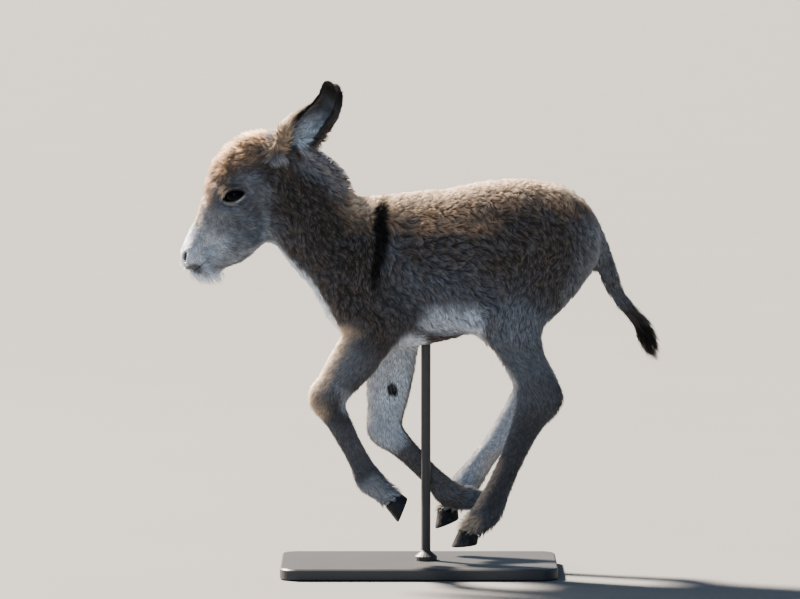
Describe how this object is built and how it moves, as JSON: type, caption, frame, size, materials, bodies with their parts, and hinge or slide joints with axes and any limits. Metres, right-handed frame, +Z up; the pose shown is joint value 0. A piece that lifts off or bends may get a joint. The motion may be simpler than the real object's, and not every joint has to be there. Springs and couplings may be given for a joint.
{
  "type": "donkey foal figure",
  "caption": "Life-size display figure of a young donkey foal at a gallop, feet gathered under it, held off the ground by a rod on a flat base.",
  "frame": {"origin": "centre of the stand base's underside, on the floor", "axes": "+Z up; the foal heads along -X; its left side is towards -Y"},
  "size_m": [0.8067, 0.26, 0.8414],
  "materials": {
    "coat": "soft fluffy fur, brown grey with a dark cross and pale muzzle",
    "hoof": "dull dark horn",
    "eye": "wet gloss, near black",
    "stand": "satin black paint on steel"
  },
  "bodies": {
    "root": {"head": "coat", "neck": "coat", "trunk": "coat", "tail": "coat", "foreleg_left_forearm": "coat", "foreleg_left_cannon": "coat", "foreleg_left_pastern": "coat", "hoof_foreleg_left": "hoof", "foreleg_right_forearm": "coat", "foreleg_right_cannon": "coat", "foreleg_right_pastern": "coat", "hoof_foreleg_right": "hoof", "hindleg_left_gaskin": "coat", "hindleg_left_cannon": "coat", "hindleg_left_pastern": "coat", "hoof_hindleg_left": "hoof", "hindleg_right_gaskin": "coat", "hindleg_right_cannon": "coat", "hindleg_right_pastern": "coat", "hoof_hindleg_right": "hoof", "ear_left": "coat", "ear_right": "coat", "eye_left": "eye", "eye_right": "eye", "stand_base": "stand", "stand_rod": "stand"}
  },
  "joints": []
}
